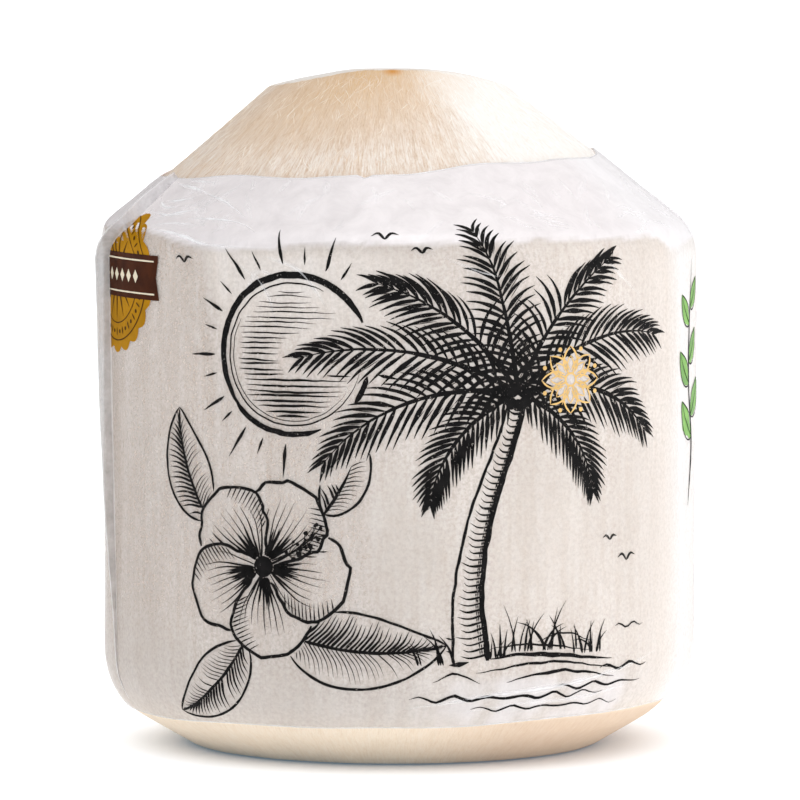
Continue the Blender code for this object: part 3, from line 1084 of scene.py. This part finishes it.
def drawSun(bm, x, y, radius, rays, hidden):
    rings = ((0, 1.25, 0.3, 3.7), (0.1, 1.0, 3.8, 2.9), (-1.5, 0.3, 1.1, 5.2), (-2.3, 0.16, 2.6, 3.1))
    for out, width, start, sweep in rings:
        inkBrush(bm, ringPath(x, y, radius + out, start, sweep), width, (0.1, 0.2), hidden, shake=0.16)
    for k in range(int(2 * radius / ink["sunLines"])):
        level = -radius + 1.2 + ink["sunLines"] * k
        if level > radius - 3:
            break
        half = (max(0, (radius - 2.6) ** 2 - level**2)) ** 0.5
        dark = 0.5 - 0.5 * level / radius
        if half > 1.5:
            start = x - half * random.uniform(0.85, 1.0)
            end = x + half * (random.uniform(0.3, 0.9) if level > 0 else random.uniform(0.85, 1.0))
            middle = ((start + end) / 2, y + level + random.gauss(0, 0.15))
            line = [(start, y + level), middle, (end, y + level)]
            inkBrush(bm, line, 0.14 + 0.42 * dark, (0.35, 0.5), hidden, shake=0.12)
    for k in range(rays):
        turn = 2 * pi * (k + random.uniform(-0.15, 0.15)) / rays
        near = radius + 2.0
        far = near + (6.0 if k % 2 else 3.4) * random.uniform(0.85, 1.15)
        points = [turned(x, y, turn, reach) for reach in (near, (near + far) / 2, far)]
        inkBrush(bm, points, 0.75 if k % 2 else 0.5, (0.3, 0.8), hidden)


def petalRing(x, y, turn, length, halfWidth, seed):
    # out along one side, round the ruffled lip, and back along the other
    shares = np.concatenate((np.linspace(0.12, 0.8, 12), np.linspace(0.8, 1.0, 7)[1:]))
    side = halfWidth * np.sin(pi * shares**1.25 * 0.93) ** 0.75
    sides = []
    for way, seedX, seedZ in ((1, seed, 0), (-1, seed + 5, 3)):
        ruffle = np.array([noise.noise((seedX, s * 9, seedZ)) for s in shares])
        sides.append(np.stack((shares * length + ruffle * 0.5, way * side + ruffle * 0.7), axis=1))
    ring = np.vstack((sides[0], sides[1][::-1]))
    return np.column_stack(turned(x, y, turn, ring[:, 0], ring[:, 1]))


def drawBloom(bm, x, y, radius, firstTurn):
    turns = [radians(firstTurn) + 2 * pi * k / 5 for k in range(5)]
    rings = [petalRing(x, y, turn, radius, radius * 0.50, 3.7 * k) for k, turn in enumerate(turns)]
    tests = [within(ring) for ring in rings]
    for k, turn in enumerate(turns):
        behind = [tests[(k + 1) % 5]]
        inkBrush(bm, rings[k], 0.62, (0.05, 0.05), behind, shake=0.12)
        for vein in range(-5, 6):
            spread = vein / 5.6
            reach = radius * (0.93 - 0.22 * abs(spread)) * random.uniform(0.72, 0.98)
            points = []
            for share in (0.16, 0.4, 0.7, 1.0):
                off = spread * radius * 0.46 * sin(pi * 0.55 * share) * share**0.35
                points.append(turned(x, y, turn, reach * share, off))
            inkBrush(bm, points, random.uniform(0.18, 0.42), (0.05, 0.8), behind, step=0.7)
        # short dark strokes deepen the throat and the side that lies under the next petal
        for _ in range(15):
            off = random.uniform(-0.32, 0.32)
            near, far = radius * 0.13, radius * random.uniform(0.26, 0.5)
            points = [turned(x, y, turn + off, reach) for reach in (near, (near + far) / 2, far)]
            inkBrush(bm, points, random.uniform(0.45, 0.75), (0.05, 0.85), behind, step=0.6)
        for s in np.linspace(0.35, 0.9, 13):
            off = radius * 0.5 * sin(pi * s**1.25 * 0.93) ** 0.75
            points = []
            for share in (0.97, 0.8, 0.55):
                reach, out = radius * (s - 0.12 * (0.97 - share)), off * share * random.uniform(0.97, 1.03)
                points.append(turned(x, y, turn, reach, -out))
            inkBrush(bm, points, 0.28, (0.05, 0.8), behind, step=0.6)
    dot(bm, x, y, radius * 0.12, ink["lift"], 14)
    return tests


def drawStamen(bm, x, y, start, end, length):
    stalk = np.array(curveFrom(x, y, radians(start), radians(end), length))
    inkBrush(bm, stalk + (0.35, 0.2), 0.3, (0.05, 0.3))
    inkBrush(bm, stalk - (0.35, 0.2), 0.45, (0.05, 0.3))
    for k in range(ink["stamens"]):
        at = 0.45 + 0.6 * k / ink["stamens"]
        i = min(int(at * (len(stalk) - 1)), len(stalk) - 2)
        turn = random.uniform(0, 2 * pi)
        reach = random.uniform(0.9, 1.9)
        foot = stalk[i] + (stalk[i + 1] - stalk[i]) * random.random()
        spot = foot + np.array((cos(turn), sin(turn))) * reach
        inkBrush(bm, [stalk[i], (stalk[i] + spot) / 2, spot], 0.14, (0.1, 0.1), step=0.4)
        dot(bm, *spot, random.uniform(0.28, 0.42), ink["lift"], 7)


def drawTrunk(bm, points, base, top):
    middle = smoothPath(points, 0.6)
    ahead = np.gradient(middle, axis=0)
    left, right = twoSides(middle, 0.5 * (top + (base - top) * (1 - np.linspace(0, 1, len(middle))) ** 1.6))
    inkBrush(bm, left, 0.55, (0.05, 0.1), shake=0.2)
    inkBrush(bm, right, 1.05, (0.05, 0.1), shake=0.2)
    for k in range(2, len(middle) - 2, 2):
        low = middle[k] - ahead[k] / np.linalg.norm(ahead[k]) * 0.55
        line = [right[k], low, middle[k] + (left[k] - middle[k]) * random.uniform(0.35, 0.95)]
        inkBrush(bm, line, random.uniform(0.3, 0.5), (0.05, 0.6), step=0.5)
        for share in (0.15, 0.3, 0.42):
            start = middle[k] + (right[k] - middle[k]) * (1 - share)
            inkBrush(bm, [start, start + ahead[k] * random.uniform(1.1, 1.9)], 0.3, (0.2, 0.6), step=0.5)
    return within(np.vstack((left, right[::-1])))


def drawGrass(bm, x, y, count, reach, hidden):
    for _ in range(count):
        lean = random.gauss(0, 0.45)
        length = reach * random.uniform(0.5, 1.1)
        foot = x + random.gauss(0, reach * 0.35)
        blade = curveFrom(foot, y, pi / 2 + lean * 0.4, pi / 2 + lean * 1.8, length, 4)
        inkBrush(bm, blade, random.uniform(0.35, 0.7), (0.1, 0.9), hidden, step=0.6)


def drawWave(bm, x, y, length, height, width):
    count = max(2, round(length / 7))
    points = []
    for k in range(4 * count + 1):
        phase = k / 4
        climb = height * sin(2 * pi * phase) * (0.6 + 0.4 * sin(phase * 1.7))
        points.append((x + length * phase / count, y + climb))
    inkBrush(bm, points, width, (0.2, 0.4))


def drawBird(bm, x, y, reach):
    for tipX, tipY, bend in ((-1, 0.25, -0.5), (1, 0.35, 0.45)):
        wing = [(x + reach * tipX, y + reach * tipY), (x + reach * bend, y + reach * 0.5), (x, y)]
        inkBrush(bm, wing, 0.5, (0.5, 0.15), step=0.4)


def inkMaterial():
    material = newMaterial("blackInk")
    colour = ramp(material, noiseAt(material, 500, 2, 0.5), ink["colours"])
    gaps = span(material, noiseAt(material, 1900, 3, 0.7), 0.31, 0.37, 0.25, 1.0)
    setFinish(material, Base_Color=colour, Alpha=gaps, Roughness=0.55, Specular_IOR_Level=0.06)
    return material


def printInk(name, scale, colours, **finish):
    # a plain ink or foil, its colour a little uneven
    material = newMaterial(name)
    setFinish(material, Base_Color=ramp(material, noiseAt(material, scale), colours), **finish)
    return material


# The front's picture: a palm by the water, a sun behind it and a bloom with its leaves

picture = {
    "trunk": ((13, 21), (12.5, 34), (15, 48), (20, 62), (22, 69)),
    "trunkWidths": (6.5, 3.2),
    "palm": (22, 70),
    # the headings at which each frond starts and ends, its length and its width
    "fronds": (
        (172, 232, 40, 9.5), (150, 196, 42, 10), (124, 165, 34, 9.5), (97, 112, 31, 8.5), (66, 30, 32, 9),
        (40, -14, 36, 10), (12, -48, 33, 9.5), (-22, -82, 26, 8), (204, 262, 27, 8),
    ),
    "clearOfFronds": 4.2,
    "sun": (-20, 77, 14.5, 26),
    "bloom": (-26, 38, 16.5, 62),
    "stamen": (-26, 38, 20, 48, 13),
    "leaves": ((-22, 26, -18, 14, 31, 7.0), (-30, 24, 240, 196, 23, 5.5), (-38, 46, 128, 88, 22, 5.5)),
    "leafUnderPalm": (-14, 48, 52, 84, 17, 4.2),
    "shore": (
        (9, 20.5, 34, 0.9), (14, 18.9, 30, 0.5), (12, 22.4, 26, 0.4), (20, 17.2, 24, 0.6),
        (26, 24.2, 12, 0.35), (6, 17.4, 9, 0.4),
    ),
    "grass": ((10, 20.5, 15, 8), (18, 21.5, 12, 6.5), (28, 22.6, 16, 9), (37, 21.6, 10, 6)),
    "waves": (
        (2, 14.2, 40, 0.7, 0.55), (14, 12.0, 33, 0.6, 0.4), (40, 18.6, 13, 0.6, 0.5),
        (30, 15.6, 22, 0.6, 0.45), (44, 26, 8, 0.5, 0.35),
    ),
    "birds": ((-2, 98, 2.6), (4.5, 95.5, 2.0), (-44, 93, 2.2), (47, 38, 2.4), (42.5, 42, 1.8)),
    # a gold rosette over the palm: its place, how far it reaches and its petals
    "rosette": (33.0, 72.0),
    "rosetteReach": 6.2,
    "rosettePetals": 8,
}


def makeFrontPrint():
    random.seed(ink["seed"])
    bm = bmesh.new()

    def onGold(point):
        middle = picture["rosette"]
        return hypot(point[0] - middle[0], point[1] - middle[1]) < 0.62 * picture["rosetteReach"]

    # the palm stands in front of the sun, and the bloom in front of the leaves
    x, y = picture["palm"]
    trunk = drawTrunk(bm, picture["trunk"], *picture["trunkWidths"])
    ribs = np.vstack([drawFrond(bm, x, y, *frond, [onGold]) for frond in picture["fronds"]])

    def nearPalm(point):
        clear = picture["clearOfFronds"]
        return trunk(point) or np.min(np.hypot(ribs[:, 0] - point[0], ribs[:, 1] - point[1])) < clear

    for k in range(5):
        turn = radians(200 + 35 * k)
        dot(bm, x + 2.2 * cos(turn), y - 0.5 + 1.8 * sin(turn), 1.15, ink["lift"], 12)
    drawSun(bm, *picture["sun"], [nearPalm])
    petals = drawBloom(bm, *picture["bloom"])
    drawStamen(bm, *picture["stamen"])
    for leaf in picture["leaves"]:
        drawLeaf(bm, *leaf, petals)
    drawLeaf(bm, *picture["leafUnderPalm"], [*petals, nearPalm])
    for x, y, length, width in picture["shore"]:
        line = [(x, y), (x + length * 0.45, y + 1.5), (x + length, y - 0.4)]
        inkBrush(bm, line, width, (0.4, 0.5), [trunk], shake=0.3)
    for tuft in picture["grass"]:
        drawGrass(bm, *tuft, [trunk])
    for wave in picture["waves"]:
        drawWave(bm, *wave)
    for bird in picture["birds"]:
        drawBird(bm, *bird)
    printedPiece("frontPrint", bm, inkMaterial())


makeFrontPrint()


backPicture = {
    "bloom": (166, 62, 13, 80),
    "stamen": (166, 62, 30, 60, 10),
    "leaves": ((172, 52, -40, -10, 24, 5.5), (158, 54, 215, 180, 22, 5.5), (166, 74, 100, 70, 17, 4.2)),
    "waves": ((146, 32, 40, 0.7, 0.5), (149, 29, 34, 0.7, 0.5), (152, 26, 28, 0.7, 0.5)),
}


def makeBackPrint():
    random.seed(ink["seed"] + 1)
    bm = bmesh.new()
    petals = drawBloom(bm, *backPicture["bloom"])
    drawStamen(bm, *backPicture["stamen"])
    for leaf in backPicture["leaves"]:
        drawLeaf(bm, *leaf, petals)
    for wave in backPicture["waves"]:
        drawWave(bm, *wave)
    printedPiece("backPrint", bm, inkMaterial())


makeBackPrint()


def makeRosette():
    random.seed(4)
    bm = bmesh.new()
    x, y = picture["rosette"]
    count = picture["rosettePetals"]

    def foil(points, width, taper, **more):
        brush(bm, points, width, taper, lift=0.09, **more)

    for k in range(count):
        turn = 2 * pi * k / count
        for reach, half, width in ((picture["rosetteReach"], 1.75, 0.34), (4.4, 0.9, 0.26)):
            for way in (1, -1):
                points = []
                for share in (0.2, 0.5, 0.8, 1.0):
                    off = way * half * sin(pi * share) ** 0.8 * 0.9
                    points.append(turned(x, y, turn, reach * share, off))
                foil(points, width, (0.2, 0.2), step=0.35, shake=0.02)
        midway = turn + pi / count
        dot(bm, *turned(x, y, midway, 6.0), 0.42, 0.09, 10)
        foil([turned(x, y, midway, reach) for reach in (2.6, 5.0)], 0.3, (0.3, 0.6), step=0.5)
    foil(ringPath(x, y, 1.15), 0.4, (0.02, 0.02), step=0.3, shake=0)
    colours = [(0.3, (0.576, 0.376, 0.144)), (0.65, (0.72, 0.47, 0.18))]
    foilGold = printInk("goldFoil", 260, colours, Metallic=0.7, Roughness=0.28, Specular_IOR_Level=0.04)
    printedPiece("goldRosette", bm, foilGold)


makeRosette()


# A round gold seal with a brown band, printed by the left fold

seal = {
    "seed": 8,
    "middle": (-68.4, 89.9),
    "radius": 14.4,
    "discRings": 9,
    "discSteps": 160,
    "lobes": 20,
    "lobeDepth": 0.55,
    # two cuts, each through the fold's edge and facing this way
    "foldEdge": (-73.6, 93.5, 0),
    "cuts": ((1, 0, 0), (0.62, -0.78, 0)),
    "circles": ((12.6, 0.25), (9.35, 0.22)),
    "beads": (11.0, 0.40),
    "ticks": (48, (10.2, 11.8)),
    "rays": (16, (2.1, 8.6)),
    "bandLow": 85.5,
    "bandHigh": 93.8,
    "bandLeft": -84.0,
    "bandRight": -51.1,
    "notch": 1.0,
    "lozenges": 9,
    "lozengeGap": 2.9,
    "lozengeSize": 1.25,
    # how far each print lies over the film
    "lifts": {"gold": 0.04, "rings": 0.08, "band": 0.12, "cream": 0.16},
    "goldColours": [(0.3, (0.40, 0.188, 0.0016)), (0.65, (0.50, 0.235, 0.002))],
    "lineColour": (0.085, 0.036, 0.004),
    "bandColours": [(0.3, (0.036, 0.007, 0.001)), (0.7, (0.070, 0.016, 0.003))],
    "creamColour": (0.80, 0.70, 0.52),
}


def sealPiece(name, bm, material):
    # the print stops where the film is folded under its flap
    bmesh.ops.translate(bm, verts=bm.verts, vec=(*seal["middle"], 0))
    for across in seal["cuts"]:
        cut = {"plane_co": seal["foldEdge"], "plane_no": across, "clear_inner": True}
        bmesh.ops.bisect_plane(bm, geom=bm.verts[:] + bm.edges[:] + bm.faces[:], **cut)
    printedPiece(name, bm, material)


def makeSealDisc():
    bm = bmesh.new()
    reach, rings = seal["radius"], seal["discRings"]
    chain = [bm.verts.new((reach * k / rings, 0, 0)) for k in range(rings + 1)]
    edges = [bm.edges.new(pair) for pair in zip(chain, chain[1:])]
    turning = {"axis": (0, 0, 1), "cent": (0, 0, 0), "angle": 2 * pi, "use_merge": True}
    bmesh.ops.spin(bm, geom=chain + edges, steps=seal["discSteps"], **turning)
    bmesh.ops.remove_doubles(bm, verts=bm.verts, dist=1e-5)
    for vert in bm.verts:
        out = hypot(vert.co.x, vert.co.y) / reach
        turn = atan2(vert.co.y, vert.co.x)
        swell = 1 + seal["lobeDepth"] / reach * (abs(cos(turn * seal["lobes"] / 2)) * 2 - 1) * out**6
        vert.co = (vert.co.x * swell, vert.co.y * swell, seal["lifts"]["gold"])
    finish = {"Metallic": 0.25, "Roughness": 0.60, "Specular_IOR_Level": 0.04}
    sealPiece("goldSeal", bm, printInk("goldPrint", 260, seal["goldColours"], **finish))


def makeSealRings():
    # darker circles, beads, ticks and rays on the gold
    random.seed(seal["seed"])
    bm = bmesh.new()
    lift = seal["lifts"]["rings"]
    for reach, width in seal["circles"]:
        brush(bm, ringPath(0, 0, reach, count=90), width, (0.01, 0.01), lift=lift, step=0.5, shake=0)
    out, size = seal["beads"]
    count, ends = seal["ticks"]
    for k in range(count):
        turn = 2 * pi * k / count
        if k % 2:
            dot(bm, *turned(0, 0, turn, out), size, lift)
        else:
            line = [turned(0, 0, turn, reach) for reach in ends]
            brush(bm, line, 0.3, (0.3, 0.3), lift=lift, step=0.4, shake=0)
    count, ends = seal["rays"]
    for k in range(count):
        line = [turned(0, 0, 2 * pi * k / count, reach) for reach in ends]
        brush(bm, line, 0.55, (0.1, 0.7), lift=lift, step=0.7, shake=0)
    material = newMaterial("darkGold")
    setFinish(material, Base_Color=seal["lineColour"], Roughness=0.6, Specular_IOR_Level=0.04)
    sealPiece("sealRings", bm, material)


def makeSealBand():
    # the band's right end is a swallow-tail
    x, y = seal["middle"]
    left, right = seal["bandLeft"] - x, seal["bandRight"] - x
    low, high = seal["bandLow"] - y, seal["bandHigh"] - y
    bm = bmesh.new()
    bmesh.ops.create_grid(bm, x_segments=56, y_segments=14, size=0.5)
    for vert in bm.verts:
        share, up = vert.co.x + 0.5, vert.co.y + 0.5
        end = right - seal["notch"] * (1 - abs(2 * up - 1))
        vert.co = (left + (end - left) * share, low + (high - low) * up, seal["lifts"]["band"])
    brown = printInk("brownBand", 300, seal["bandColours"], Roughness=0.55, Specular_IOR_Level=0.04)
    sealPiece("sealBand", bm, brown)

    # a row of plain lozenges between two lines
    bm = bmesh.new()
    lift = seal["lifts"]["cream"]
    for k in range(seal["lozenges"]):
        spot = bmesh.ops.create_circle(bm, cap_ends=True, segments=4, radius=seal["lozengeSize"])["verts"]
        bmesh.ops.scale(bm, verts=spot, vec=(0.8, 1, 1))
        bmesh.ops.translate(bm, verts=spot, vec=(left + 1.2 + seal["lozengeGap"] * k, (low + high) / 2, lift))
    for level in (low + 1.1, high - 1.1):
        line = [(left, level), ((left + right) / 2, level), (right - 1.6, level)]
        brush(bm, line, 0.3, (0.02, 0.02), lift=lift, shake=0)
    material = newMaterial("creamPrint")
    setFinish(material, Base_Color=seal["creamColour"], Roughness=0.5)
    sealPiece("sealLozenges", bm, material)


makeSealDisc()
makeSealRings()
makeSealBand()


# A green sprig at the right edge

sprig = {
    "seed": 21,
    "stem": ((72.5, 46.0), (75.5, 58), (73.5, 72), (76, 92.0)),
    # how far up the stem each leaf grows, and to which side
    "leaves": ((0.30, -1), (0.38, 1), (0.52, -1), (0.60, 1), (0.74, -1), (0.82, 1)),
    "leafLength": 10.2,
    "colours": [(0.3, (0.10, 0.30, 0.02)), (0.7, (0.21, 0.49, 0.05))],
}


def makeSprig():
    random.seed(sprig["seed"])
    stems = bmesh.new()
    leaves = bmesh.new()
    brush(stems, sprig["stem"], 0.9, (0.2, 0.4), lift=0.06)
    path = smoothPath(sprig["stem"], 1.0)
    for share, way in sprig["leaves"]:
        foot = path[int(share * (len(path) - 1))]
        start = pi / 2 + way * -1.0
        length = sprig["leafLength"] * (1.05 - 0.35 * share)
        rib, left, right = leafShape(*foot, start, start + way * 0.5, length, length * 0.26)
        brush(leaves, rib, length * 0.52, (0.45, 0.5), lift=0.05, shake=0, step=0.4)
        for edge in (left, right):
            brush(stems, edge, 0.3, (0.1, 0.1), lift=0.09)
        brush(stems, rib, 0.28, (0.05, 0.5), lift=0.09)
    printedPiece("greenLeaves", leaves, printInk("greenPrint", 220, sprig["colours"], Roughness=0.45))
    printedPiece("sprigLines", stems, inkMaterial())


makeSprig()
